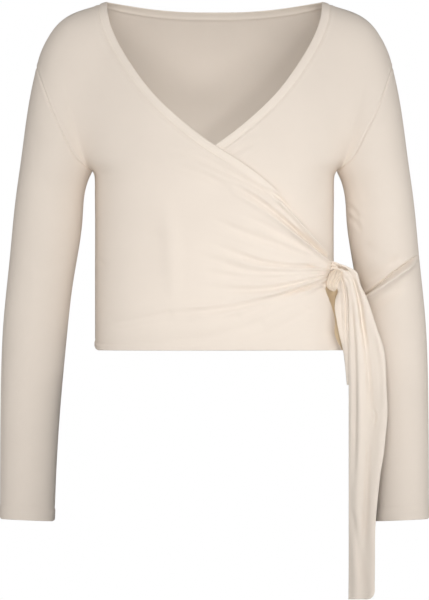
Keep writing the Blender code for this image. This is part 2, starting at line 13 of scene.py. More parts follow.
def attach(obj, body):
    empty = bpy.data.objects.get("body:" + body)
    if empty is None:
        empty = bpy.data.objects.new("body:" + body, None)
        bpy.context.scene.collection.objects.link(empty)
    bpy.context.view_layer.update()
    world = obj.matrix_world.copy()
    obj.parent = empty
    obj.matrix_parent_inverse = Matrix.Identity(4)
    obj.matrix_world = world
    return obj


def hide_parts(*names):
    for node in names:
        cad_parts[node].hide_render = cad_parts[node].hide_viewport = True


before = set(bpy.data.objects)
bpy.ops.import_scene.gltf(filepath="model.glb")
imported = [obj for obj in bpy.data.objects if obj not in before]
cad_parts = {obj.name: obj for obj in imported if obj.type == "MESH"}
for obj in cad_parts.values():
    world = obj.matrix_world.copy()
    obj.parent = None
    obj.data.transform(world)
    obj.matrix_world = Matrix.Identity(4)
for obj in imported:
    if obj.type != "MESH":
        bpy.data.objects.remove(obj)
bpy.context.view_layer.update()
MM = 0.001

# ----------------------------------------
# Back panel. One piece of fine jersey, cut wide over the dropped shoulders, with a neckline that
# dips slightly and a narrow turned hem. As it is worn, its cloth lies over a hollow form of
# shoulders, trunk and arms, which every later piece shares.

FRONT = 0
BACK = 1

# Half outline from the neck over the shoulder and down the sleeve's outer side.
OUTLINE = np.array([
    # half width, height
    (0, 34), (33.5, 31.5), (67, 23.5), (134.4, 1.2), (160, -6.7), (174, -11.5),
    (187.5, -18.8), (197.5, -27.5), (207.5, -41.5), (215, -56.5), (222.5, -80.5),
    (231.3, -121.3), (241.9, -196.3), (248.8, -246.3), (256.3, -321.3), (263.8, -396.3),
    (267.3, -496), (267.9, -650)])

# Trunk: half width, and how far the cloth stands in front of and behind the shoulder plane.
TRUNK = np.array([
    # height, half width, front, back
    (-440, 149, 94, 80), (-380, 149, 93, 75), (-325, 149, 96, 73),
    (-260, 149, 107, 78), (-234, 149.2, 112, 81), (-220, 149.4, 114, 82),
    (-214, 150.4, 115, 82.5), (-210, 152.5, 116, 83), (-203, 158.5, 117, 84),
    (-190, 165, 117.5, 85), (-160, 174, 119, 87), (-110, 186, 121, 90),
    (-60, 195, 124, 92), (10, 204, 126, 94)])

# Half width that shapes the middle of the front and back, which widens more gently.
MIDDLE = np.array([
    # height, half width
    (-440, 149), (-310, 149.4), (-260, 152), (-210, 159), (-160, 170),
    (-110, 182), (-60, 193), (10, 204)])
MIDDLE_TO_SIDE_X = (80.0, 146.0)

# Arm: inner edge, roundness of its section, and how far its middle swings back.
ARM = np.array([
    # height, inner edge, depth over half width, swing back
    (-650, 200, 0.92, -8), (-596, 198.1, 0.93, -4), (-496, 191.9, 0.96, 3),
    (-421, 185, 0.98, 6), (-346, 176.3, 1, 6), (-271, 165, 1.02, 2),
    (-221, 157.5, 1.04, 0), (-210, 152.5, 1.05, 0), (-203, 149.5, 1.05, 0),
    (-180, 146, 1.06, 0), (-100, 139, 1.08, 0), (-20, 100, 1.08, 0),
    (10, 70, 1.08, 0)])

# Armhole seam, from the underarm up to the outer side of a dropped shoulder.
ARMHOLE = np.array([
    # height, half width
    (-210, 152.5), (-196.3, 169.4), (-172, 184.4), (-147.5, 196.9), (-114.4, 210.6),
    (-80.5, 222.5)])

# Back neck edge, from the middle to the shoulder neck point.
BACK_NECK = np.array([
    # sideways, height
    (0, -10.3), (35, -9.9), (65.6, -8), (96.9, -4.3), (120, -0.8), (134.4, 1.2)])

UNDERARM_Z = -210.0
HEM_Z = -434.0
BAND_WIDTH = 10.0
NECK_ROLL = (7.2, 8.2)       # depth gained near the shoulder line, per root millimetre of drop
SECTION_POWER = 2.6          # squareness of the trunk's section
BLEND_POWER = 4.0            # how sharply the sleeve parts from the trunk above the underarm
ARMHOLE_STEPS = 72           # rows of every panel over the underarm, and half a sleeve's ring

JERSEY = 1.0                 # thickness of the cloth
WALE = 0.55                  # width of one column of knit
COURSE = 0.42                # height of one row of knit
SEAM_DIP = 0.5               # how far the cloth is drawn in where it is sewn to the next piece
SEAM_REACH = 1.6
SEAM_TURNING = 4.0           # how far in the seam's turned edges stand up under the cloth
RIM_ROUND = 0.9              # how far from a folded edge its thickness is full
RIM_ROWS = np.array([0, 0.1, 0.35, 0.7, 1.1, 1.6])     # grid rows that round a hem's rim
HEM_DEPTH = 8.0
HEM_STAND = 0.35             # turned cloth of a hem, over the single cloth beside it
HEM_GROOVE = 0.9             # how deep its stitching is pulled in
HEM_GROOVE_WIDTH = 1.1
HEM_CORNER = 5.0             # radius at the side seam's foot
FOLD_STEPS = 24              # straight runs that each fold's curve is measured along
NECK_POINTS = 60
SHOULDER_POINTS = 36
BACK_ROWS = 66               # from the hem up to the underarm

# Creases of the back, each through four points from the side in. Worn jersey drags a little from
# the underarms and lies in low waves over the small of the back.
BACK_FOLDS = np.array([
    # x, z of four points, depth, width at start, at end, ridge over, under
    (146, -222, 118, -240, 84, -252, 46, -257, 1.3, 7, 16, 0.4, 0.2),
    (-146, -220, -120, -246, -92, -262, -60, -270, 1.1, 7, 15, 0.4, 0.2),
    (147, -334, 96, -338, 40, -352, -24, -356, 1.8, 7, 14, 0.5, 0.2),
    (147, -352, 104, -366, 52, -382, 6, -386, 1.3, 6, 13, 0.5, 0.2),
    (-147, -342, -98, -350, -52, -366, -8, -370, 1.2, 8, 15, 0.4, 0.2),
    (-147, -386, -104, -396, -70, -400, -30, -400, 0.9, 8, 14, 0.4, 0.2),
    (147, -308, 122, -298, 92, -294, 62, -296, 1, 6, 12, 0.4, 0.2),
    (-190, -150, -172, -172, -150, -186, -122, -192, 1.3, 6, 14, 0.4, 0.2),
    (190, -150, 170, -168, 146, -180, 118, -184, 1.4, 6, 14, 0.4, 0.2)])


def smooth(stations, values, at):
    """Natural cubic curve through a table's column, read at the given places."""
    order = np.argsort(stations)
    s = np.asarray(stations, float)[order]
    v = np.asarray(values, float)[order]
    step = np.diff(s)
    slope = np.diff(v) / step
    system = np.eye(len(s))
    right = np.zeros(len(s))
    for i in range(1, len(s) - 1):
        system[i, i - 1:i + 2] = (step[i - 1], 2 * (step[i - 1] + step[i]), step[i])
        right[i] = 6 * (slope[i] - slope[i - 1])
    bend = np.linalg.solve(system, right)
    at = np.clip(at, s[0], s[-1])
    i = np.clip(np.searchsorted(s, at) - 1, 0, len(s) - 2)
    h = step[i]
    a = (s[i + 1] - at) / h
    b = (at - s[i]) / h
    cubic = ((a ** 3 - a) * bend[i] + (b ** 3 - b) * bend[i + 1]) * h ** 2 / 6
    return a * v[i] + b * v[i + 1] + cubic


def step_up(value, low, high):
    """0 below low, 1 above high, with a smooth rise between."""
    t = np.clip((value - low) / (high - low), 0, 1)
    return t * t * (3 - 2 * t)


def hump(distance, width):
    """1 at no distance, falling to nearly 0 past twice the width, as a bell curve does."""
    return np.exp(-(distance / width) ** 2)


outline_length = np.append(0, np.cumsum(np.hypot(*np.diff(OUTLINE, axis=0).T)))
outline_at = np.linspace(0, outline_length[-1], 1200)
outline_x, outline_z = (smooth(outline_length, column, outline_at) for column in OUTLINE.T)


def outer_x(z):
    """Half width of the outline at a height."""
    return np.interp(-z, -outline_z, outline_x)


def ridge_z(x):
    """Height of the outline at a half width."""
    return np.interp(x, outline_x, outline_z)


def depth(x, z, side):
    """How far the cloth stands from the shoulder plane. The trunk's section is a squared oval
    and the arm's a round one, each rolling over from the outline, and the larger wins softly."""
    x = np.abs(x)
    inset = np.maximum(outer_x(z) - x, 0)
    drop = np.maximum(ridge_z(x) - z, 0)
    roll = inset * drop / np.maximum(np.hypot(inset, drop), 1e-9)
    inner = smooth(ARM[:, 0], ARM[:, 1], z)
    arm = smooth(ARM[:, 0], ARM[:, 2], z) * np.sqrt(roll * np.maximum(x - inner, 0))
    middle = smooth(MIDDLE[:, 0], MIDDLE[:, 1], z)
    half = smooth(TRUNK[:, 0], TRUNK[:, 1], z)
    half = middle + (half - middle) * step_up(x, *MIDDLE_TO_SIDE_X)
    chest = smooth(TRUNK[:, 0], TRUNK[:, 2 + side], z)
    fall = np.maximum(NECK_ROLL[side] * np.sqrt(drop), 1e-6)
    profile = (chest ** -6.0 + fall ** -6.0) ** (-1 / 6)
    across = np.maximum(1 - np.minimum(x / half, 1) ** SECTION_POWER, 0) ** (1 / SECTION_POWER)
    return ((profile * across) ** BLEND_POWER + arm ** BLEND_POWER) ** (1 / BLEND_POWER)


def form(x, z, side, edge=None):
    """Points of the worn form and its outward normals. Where edge is true the cloth turns from
    front to back, so it lies in the shoulder plane."""
    reach = 1.0
    y = depth(x, z, side)
    slope_x = (depth(x + reach, z, side) - depth(x - reach, z, side)) / (2 * reach)
    slope_z = (depth(x, z + reach, side) - depth(x, z - reach, side)) / (2 * reach)
    normal = np.stack([-slope_x, np.ones_like(y), -slope_z], axis=-1)
    if edge is not None:
        y = np.where(edge, 0, y)
        normal[..., 1] = np.where(edge, 0, normal[..., 1])
    normal /= np.linalg.norm(normal, axis=-1, keepdims=True)
    underarm = np.hypot(np.abs(x) - ARMHOLE[0, 1], z - UNDERARM_Z) < 0.01
    normal[underarm] = (0, 0, -1)
    facing = -1 if side == FRONT else 1
    on_arm = np.abs(x) > smooth(ARM[:, 0], ARM[:, 1], z) - 1
    swing = np.where(on_arm & (z < UNDERARM_Z), smooth(ARM[:, 0], ARM[:, 3], z), 0)
    normal[..., 1] *= facing
    return np.stack([x, facing * y + swing, z], axis=-1), normal


def chain(stops, counts, ease_last=False):
    """Values that run evenly from stop to stop, closer together at the very end if eased."""
    parts = []
    for i, count in enumerate(counts):
        t = np.arange(count) / count
        if ease_last and i == len(counts) - 1:
            t = 1 - (1 - t) ** 2
        parts.append(stops[i] + (stops[i + 1] - stops[i]) * t)
    return np.append(np.concatenate(parts), stops[-1])


def armhole_heights():
    """Heights along the armhole seam, closest at its two ends. Panels and sleeves share them."""
    turn = np.pi * np.arange(ARMHOLE_STEPS + 1) / ARMHOLE_STEPS
    return UNDERARM_Z + (ARMHOLE[-1, 0] - UNDERARM_Z) * (1 - np.cos(turn)) / 2


def side_x(z):
    """Half width of a body panel: the side seam, then the armhole seam over the underarm."""
    armhole = smooth(ARMHOLE[:, 0], ARMHOLE[:, 1], z)
    return np.where(z > UNDERARM_Z, armhole, smooth(TRUNK[:, 0], TRUNK[:, 1], z))


def edge_inset(x, z, side, width):
    """Move a free edge's points inwards over the worn form by a width, square to the edge.
    The last point lies on the shoulder line and moves along it."""
    points, normals = form(x, z, side)
    points[-1, 1] = 0
    along = np.gradient(points, axis=0)
    inwards = np.cross(along, normals)
    inwards[-1] = (1, 0, ridge_z(x[-1] + 5) / 5 - ridge_z(x[-1]) / 5)
    if inwards[0, 2] > 0:
        inwards[:-1] *= -1
    inwards /= np.linalg.norm(inwards, axis=-1, keepdims=True)
    x = x + inwards[:, 0] * width
    z = z + inwards[:, 2] * width
    z[-1] = ridge_z(x[-1])
    return x, z


def lengths(points):
    """Length of cloth from each grid point to the first and last column, first and last row."""
    across = np.linalg.norm(np.diff(points, axis=1), axis=-1)
    down = np.linalg.norm(np.diff(points, axis=0), axis=-1)
    across = np.pad(np.cumsum(across, axis=1), ((0, 0), (1, 0)))
    down = np.pad(np.cumsum(down, axis=0), ((1, 0), (0, 0)))
    return across, across[:, -1:] - across, down, down[-1:] - down


def fold_relief(x, z, folds, start_fade=0.4, end_fade=0.5):
    """Soft folds on a panel. Each follows a smooth curve through its four points: a trough of
    bell section with a low ridge over it and another under it, or a ridge where its depth is
    negative. Its width changes evenly along the way, and it fades in and out over the given
    shares of its length."""
    relief = np.zeros(x.shape)
    for x0, z0, x1, z1, x2, z2, x3, z3, deep, start_width, end_width, over, under in folds:
        at = np.linspace(0, 3, FOLD_STEPS + 1)
        path_x = smooth(range(4), (x0, x1, x2, x3), at)
        path_z = smooth(range(4), (z0, z1, z2, z3), at)
        away = np.full(x.shape, 1e9)
        above = np.zeros(x.shape)
        share = np.zeros(x.shape)
        for i in range(FOLD_STEPS):
            run_x = path_x[i + 1] - path_x[i]
            run_z = path_z[i + 1] - path_z[i]
            off_x = x - path_x[i]
            off_z = z - path_z[i]
            t = np.clip((off_x * run_x + off_z * run_z) / (run_x ** 2 + run_z ** 2), 0, 1)
            off_x = off_x - run_x * t
            off_z = off_z - run_z * t
            closer = np.hypot(off_x, off_z) < away
            away = np.where(closer, np.hypot(off_x, off_z), away)
            above = np.where(closer, off_z * run_x - off_x * run_z, above)
            share = np.where(closer, (i + t) / FOLD_STEPS, share)
        side = away * np.sign(above) * np.sign(x3 - x0)
        width = start_width + (end_width - start_width) * share
        section = over * hump(side - 2 * width, 1.2 * width) - hump(side, width)
        section += under * hump(side + 2 * width, 1.2 * width)
        fade = step_up(share, 0, start_fade) * (1 - step_up(share, 1 - end_fade, 1))
        relief += deep * section * fade
    return relief


def fill(tree, node, values):
    """Set sockets of a node, each to a constant or a link. The node is the tree's own of that
    name, or a new one of that kind."""
    node = tree.nodes.get(node) or tree.nodes.new(node)
    for socket, value in values.items():
        if isinstance(value, bpy.types.NodeSocket):
            tree.links.new(value, node.inputs[socket])
        else:
            node.inputs[socket].default_value = value
    return node


def jersey(name, colour):
    """Fine single jersey. Its courses bend up and down from wale to wale, so a sine of course
    plus bent wale gives rows of small chevrons. Fine noise roughens the yarn, and slow noise
    varies the dye."""
    cloth = bpy.data.materials.new(name)
    cloth.use_nodes = True
    tree = cloth.node_tree

    def math(kind, a, b=0.0):
        node = fill(tree, "ShaderNodeMath", {0: a, 1: b})
        node.operation = kind
        return node.outputs[0]

    def noise(scale, detail):
        values = {"Vector": place, "Scale": scale, "Detail": detail}
        return fill(tree, "ShaderNodeTexNoise", values).outputs["Fac"]

    place = tree.nodes.new("ShaderNodeTexCoord").outputs["Object"]
    length = tree.nodes.new("ShaderNodeUVMap")
    length.uv_map = "cloth"
    split = fill(tree, "ShaderNodeSeparateXYZ", {0: length.outputs["UV"]})
    wale = math("DIVIDE", split.outputs["X"], WALE * MM)
    course = math("DIVIDE", split.outputs["Y"], COURSE * MM)
    bent = math("MULTIPLY", math("PINGPONG", wale, 0.5), 1.1)
    chevron = math("SINE", math("MULTIPLY", math("ADD", course, bent), 2 * np.pi))
    rib = math("COSINE", math("MULTIPLY", wale, 2 * np.pi))
    stitch = math("ADD", math("MULTIPLY", chevron, 0.5), math("MULTIPLY", rib, 0.35))
    rough = math("ADD", stitch, math("MULTIPLY", noise(900.0, 2.0), 0.7))
    bump = fill(tree, "ShaderNodeBump", {
        "Strength": 0.22, "Distance": 0.12 * MM, "Height": rough})
    tone = math("ADD", math("MULTIPLY", stitch, 0.10), noise(14.0, 3.0))
    ramp = fill(tree, "ShaderNodeValToRGB", {"Fac": tone})
    low, high = ramp.color_ramp.elements
    low.position, high.position = 0.2, 0.8
    low.color = (*(c * 0.975 for c in colour), 1.0)
    high.color = (*(min(c * 1.015, 1.0) for c in colour), 1.0)
    fill(tree, "Principled BSDF", {
        "Base Color": ramp.outputs["Color"], "Normal": bump.outputs["Normal"],
        "Roughness": 0.86, "Specular IOR Level": 0.25, "Sheen Weight": 0.12,
        "Sheen Roughness": 0.45, "Sheen Tint": (1.0, 0.96, 0.9, 1.0)})
    return cloth


def cloth_piece(name, points, normals, middle, half_wall, material, nodes, tube=False):
    """A closed shell of cloth: two skins half a wall over and under its middle's height above a
    grid of points, joined at the rim. A tube's grid also closes across its columns. Its UV map
    is the length of cloth across and down. It rides on the body and stands for the given
    solids."""
    rows, columns = points.shape[:2]
    wide = np.concatenate([points, points[:, :1]], axis=1) if tube else points
    across, _, down, _ = lengths(wide)
    flat = np.stack([across, down], axis=-1).reshape(-1, 2) * MM
    corner = np.arange(rows * wide.shape[1]).reshape(rows, wide.shape[1])
    vertex = np.arange(rows)[:, None] * columns + np.arange(wide.shape[1]) % columns
    a, b, c, d = corner[:-1, :-1], corner[:-1, 1:], corner[1:, 1:], corner[1:, :-1]
    outside = np.stack([a, b, c, d], axis=-1).reshape(-1, 4)
    inside = outside[:, ::-1]
    rim_lines = [corner[0], corner[-1, ::-1]]
    if not tube:
        rim_lines += [corner[::-1, 0], corner[:, -1]]
    rims = [np.stack([r[1:], r[:-1], r[:-1], r[1:]], axis=-1) for r in rim_lines]
    corners = np.concatenate([outside, inside, *rims])
    skin = np.zeros(corners.shape, int)
    skin[len(outside):2 * len(outside)] = 1
    skin[2 * len(outside):, 2:] = 1
    faces = vertex.ravel()[corners] + skin * rows * columns
    heights = (middle + half_wall, middle - half_wall)
    co = np.concatenate([points + normals * h[..., None] for h in heights]).reshape(-1, 3) * MM
    p, q, r, s = (co[faces[:, i]] for i in range(4))
    if np.sum(p * np.cross(q, r)) + np.sum(p * np.cross(r, s)) < 0:
        faces, corners = faces[:, ::-1], corners[:, ::-1]
    mesh = bpy.data.meshes.new(name)
    mesh.vertices.add(len(co))
    mesh.vertices.foreach_set("co", co.ravel())
    mesh.loops.add(faces.size)
    mesh.loops.foreach_set("vertex_index", np.ascontiguousarray(faces).ravel())
    mesh.polygons.add(len(faces))
    mesh.polygons.foreach_set("loop_start", np.arange(0, faces.size, 4))
    mesh.update(calc_edges=True)
    mesh.uv_layers.new(name="cloth").data.foreach_set("uv", flat[corners.ravel()].ravel())
    mesh.shade_smooth()
    mesh.materials.append(material)
    piece = bpy.data.objects.new(name, mesh)
    bpy.context.collection.objects.link(piece)
    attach(piece, "root")
    if nodes:
        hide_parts(*nodes)
    return piece


def rim(length):
    """Share of the full thickness near a folded edge: a half round section."""
    t = np.clip(length / RIM_ROUND, 0, 1)
    return np.sqrt(np.maximum(1 - (1 - t) ** 2, 0.0004))


def seam_dip(*edge_lengths):
    """How far the cloth is drawn in beside the seams at the given lengths from it, less the
    stand of the turned edges that lie under it a little further in."""
    return SEAM_DIP * sum(hump(length, SEAM_REACH) - 0.6 * hump(length - SEAM_TURNING, SEAM_REACH)
                          for length in edge_lengths)


def hem(length, deep):
    """Stand of a turned hem over the single cloth: full below its stitching, where the cloth is
    pulled in, and none above."""
    stand = HEM_STAND * (1 - step_up(length, deep - 0.4, deep + 1.2))
    return stand - HEM_GROOVE * hump(length - deep, HEM_GROOVE_WIDTH)


def jersey_wall(from_rim, deep):
    """Half the wall of single jersey: thicker where its hem is turned up, and round at the rim."""
    turned = HEM_STAND * (1 - step_up(from_rim, deep, deep + 1))
    return (JERSEY / 2 + turned) * rim(from_rim)


def hem_rise(x, z, half):
    """How far the hem turns up beside a side seam, where its corner is round."""
    past = np.clip((np.abs(x) - half + HEM_CORNER) / HEM_CORNER, 0, 1)
    return HEM_CORNER * (1 - np.sqrt(1 - past ** 2)) * (1 - step_up(z, HEM_Z, HEM_Z + 24))


def hem_rows(top, count):
    """Heights from the hem up: close together round its folded rim, then even."""
    return np.append(HEM_Z + RIM_ROWS, np.linspace(HEM_Z + RIM_ROWS[-1], top, count + 1)[1:-1])


def back_neck_edge(width):
    """Half of the back neck edge, moved down over the back by a width."""
    across = BACK_NECK[-1, 0] * (1 - (1 - np.linspace(0, 1, NECK_POINTS)) ** 2)
    height = smooth(BACK_NECK[:, 0], BACK_NECK[:, 1], across)
    return edge_inset(across, height, BACK, width)


def mirrored(half):
    """A half row from the middle outwards, made whole from side to side."""
    x, z = half
    return np.concatenate([-x[:0:-1], x]), np.concatenate([z[:0:-1], z])


cream_jersey = jersey("cream_jersey", (0.842, 0.751, 0.662))

# Rows run from the hem to the neck and shoulders. Low down their points crowd to the side seams.
neck_x, neck_z = back_neck_edge(BAND_WIDTH)
shoulder_x = np.linspace(neck_x[-1], ARMHOLE[-1, 1], SHOULDER_POINTS)[1:]
top_x, top_z = mirrored((np.append(neck_x, shoulder_x), np.append(neck_z, ridge_z(shoulder_x))))
heights = np.append(hem_rows(UNDERARM_Z, BACK_ROWS), armhole_heights())
share = top_x / top_x[-1]
low_share = np.sin(np.arcsin(np.clip(share, -1, 1)) * 0.5 + share * np.pi / 4)
rise = np.linspace(0, 1, len(heights))[:, None]
mix = step_up(rise, 0.2, 0.9)
x = side_x(heights)[:, None] * (low_share * (1 - mix) + share * mix)
z = heights[:, None] + (top_z - top_z[-1]) * rise ** 3
z += hem_rise(x, z, TRUNK[0, 1])
edge = np.zeros(x.shape, bool)
edge[-1] = np.abs(top_x) >= neck_x[-1] - 0.01
edge[np.ix_(heights <= UNDERARM_Z, (0, -1))] = True
points, normals = form(x, z, BACK, edge)
from_left, from_right, from_hem, from_top = lengths(points)
lift = fold_relief(x, z, BACK_FOLDS) * step_up(np.minimum(from_left, from_right), 0, 10)
lift += hem(from_hem, HEM_DEPTH) - seam_dip(from_left, from_right, from_top)
back = cloth_piece("back_panel", points, normals, lift - JERSEY / 2,
                   jersey_wall(from_hem, HEM_DEPTH), cream_jersey, ["back"])

# ----------------------------------------
# Fronts. Two pieces of the same jersey. The under front crosses from the wearer's left shoulder to
# the right side seam. The over front lies on it and is gathered at the knot, from where its folds
# run out over the chest and the waist.

LAYER = 2.8                  # from the under front up to the over front
LAYER_CHANGE_X = 125.0       # they change places in depth between the two side seams
BAND_WIDTH_AT_KNOT = 4.0
BAND_NARROWS_Z = (-325.0, -265.0)
EDGE_BEND_Z = -205.0         # the free edges' points are evenly spaced on either side of it
UNDER_EDGE_Z = -309.0        # lower ends of the two free edges
OVER_EDGE_Z = -329.5
UNDER_SIDE_Z = (-330.0, -326.0)         # its rows cross from seam to seam up to these heights
OVER_SIDE_Z = (-404.0, -262.0)          # its rows run to the loose edge, then to the knot

# Free edge of a front: own shoulder, V at the middle, then across to the far side.
WRAP_EDGE = np.array([
    # height, sideways towards the front's own side
    (-330, -144.5), (-325, -142.3), (-317.5, -137.5), (-291, -120), (-265, -99.6),
    (-246, -85.5), (-226, -67), (-207.5, -44), (-192.5, -21.9), (-178.8, 0),
    (-143.8, 45.6), (-116.3, 74.4), (-82.5, 100.6), (-49.4, 120.6), (-25, 130.6),
    (-10, 133.6), (1.2, 134.4)])

GATHER_TOP = (-141.5, -334.0)           # where the over front is caught under the knot
GATHER_LIFT = 4.5
GATHER_REACH = 120.0
GATHER_FLOOR = -0.8          # the cloth under it stops its folds from going deeper
KNOT_POINT = (147.0, -337.0)            # where all its folds run to
WRINKLE_HEIGHT = 0.8         # small wrinkles close round the knot
WRINKLES = 31                # in one radian of the fan
WRINKLE_REACH = 36.0
FLARE_X = (100.0, 148.0)     # over this stretch its lower corner comes to stand off the body
SMOOTH_BAND_X = (-8.0, 36.0)

# Loose edge of the over front, from the hem up to the knot.
SIDE_EDGE = np.array([
    # height, sideways, flare away from the body
    (-434, -146.5, 7.5), (-424, -145.4, 3.6), (-414, -144.2, 0.5), (-396, -144.4, 0),
    (-384, -141.8, 0), (-370, -137, 0), (-357, -132, 0)])

# Folds drawn to the knot, from the free edge down to the hem.
GATHERED_FOLDS = np.array([
    # x, z of four points, depth, width at start, at end, ridge over, under
    (-66, -178, -1, -204, 51, -230, 84, -247, 2.2, 5.6, 3.2, 0.3, 0.5),
    (66, -234, 84, -249, 111, -280, 140, -316, 4.9, 1.7, 1.8, 0, 0.9),
    (6, -218, 56, -249, 99, -284, 144, -324, 3.5, 3.8, 1.9, 0.2, 0.7),
    (60, -252, 92, -279, 118, -303, 141, -324, 2.2, 2, 1.5, 0.1, 0.8),
    (-68, -199, -42, -207, -12, -217, 24, -236, 1.2, 6, 5, 0.3, 0.3),
    (-17, -264, 33, -286, 77, -302, 132, -324, 1.8, 5, 2.4, 0.3, 0.5),
    (30, -264, 62, -278, 92, -295, 126, -316, 1.4, 4, 2.4, 0.3, 0.4),
    (-16, -296, 40, -318, 77, -327, 138, -331, 2.2, 4.2, 1.9, 0.3, 0.5),
    (104, -327, 118, -328.6, 130, -329.2, 143, -329.6, 2.2, 1.3, 0.9, 0.1, 0.6),
    (-30, -311, 33, -332, 67, -336, 134, -335.6, 1.6, 4.4, 2, 0.3, 0.5),
    (-28, -334, 33, -342, 80, -343, 134, -338, 1.4, 4.6, 2.2, 0.3, 0.4),
    (-26, -354, 37, -359, 84, -354, 134, -341.4, 2, 4.6, 2, 0.3, 0.6),
    (-84, -388, -6, -385, 60, -372, 136, -345, 3.1, 4.4, 1.8, 0.3, 0.7),
    (-104, -398, -64, -398, -12, -394, 34, -389, 1.4, 6, 5, 0.4, 0.3),
    (20, -392, 60, -380, 98, -362, 137, -349, 2.3, 4.6, 1.8, 0.2, 0.6),
    (78, -376, 98, -369, 116, -362, 134, -353, 1.2, 2.4, 1.6, 0.2, 0.5),
    (-146, -403, -112, -402, -84, -396, -50, -386, 1.4, 8, 6, 0.4, 0.2),
    (-100, -429, -34, -422, 12, -414, 66, -398, 1.2, 6, 6, 0.4, 0.2),
    (-4, -429, 44, -419, 84, -403, 120, -380, 1.2, 5, 4, 0.4, 0.3)])

# Folds that lie free on the over front, away from the knot.
FREE_FOLDS = np.array([
    # x, z of four points, depth, width at start, at end, ridge over, under
    (98, -372, 110, -382, 124, -385, 137, -382, 0.7, 3.5, 3.5, 0.5, 0.4),
    (96, -388, 108, -397, 122, -400, 136, -398, 0.6, 3.5, 3.5, 0.5, 0.4),
    (-148, -318, -143, -323, -139, -327, -132, -334, 0.7, 3, 4, 0.4, 0.3),
    (-62, -236, -56, -290, -53, -340, -50, -410, -3.6, 11, 10, 0, 0),
    (-120, -286, -84, -290, -48, -300, -14, -312, 0.5, 9, 9, 0.4, 0.2)])

# Folds of the under front, which is drawn down towards the far side.
UNDER_FOLDS = np.array([
    # x, z of four points, depth, width at start, at end, ridge over, under
    (58, -172, 42, -179, 24, -190, 6, -204, 1.1, 3.5, 3.5, 0.6, 0.2),
    (146, -214, 126, -240, 108, -268, 96, -300, 0.7, 8, 12, 0.4, 0.2)])


def band_width(z):
    """Width of the neckband, which narrows towards the knot."""
    full = step_up(z, *BAND_NARROWS_Z)
    return BAND_WIDTH_AT_KNOT + (BAND_WIDTH - BAND_WIDTH_AT_KNOT) * full


def layer(x, over):
    """The two fronts share a side seam at either side, so one eases over the other."""
    across = step_up(x, -LAYER_CHANGE_X, LAYER_CHANGE_X)
    return LAYER * across if over else -LAYER * (1 - across)


def seam_share(x, over):
    """The over front's band lies smooth below the V, where the gathers pull it straight."""
    return 1 - 0.8 * step_up(x, *SMOOTH_BAND_X) if over else 1.0


def gathered(x, z):
    """Stand of the over front: lifted in a bell round the knot, creased by its folds, and
    wrinkled close to the knot by waves that fan out with the angle from it."""
    off_x = KNOT_POINT[0] - x
    off_z = z - KNOT_POINT[1]
    away = np.hypot(off_x, off_z)
    fan = np.arctan2(off_z, np.maximum(off_x, 1e-6))
    wrinkle = np.cos(WRINKLES * fan + 2 * np.sin(5 * fan)) * step_up(away, 3, 16)
    relief = GATHER_LIFT * hump(away, GATHER_REACH)
    relief += WRINKLE_HEIGHT * wrinkle * np.exp(-away / WRINKLE_REACH)
    relief += fold_relief(x, z, GATHERED_FOLDS, 0.35, 0.06)
    return np.maximum(relief + fold_relief(x, z, FREE_FOLDS), GATHER_FLOOR)


def free_edge(over, count, across):
    """A front's free edge from its lower end to the shoulder line, moved in over the form by a
    share of the neckband's width."""
    low = OVER_EDGE_Z if over else UNDER_EDGE_Z
    z = chain((low, EDGE_BEND_Z, WRAP_EDGE[-1, 0]), (count, ARMHOLE_STEPS), True)
    x = smooth(WRAP_EDGE[:, 0], WRAP_EDGE[:, 1], z)
    return edge_inset(x, z, FRONT, band_width(z) * across)


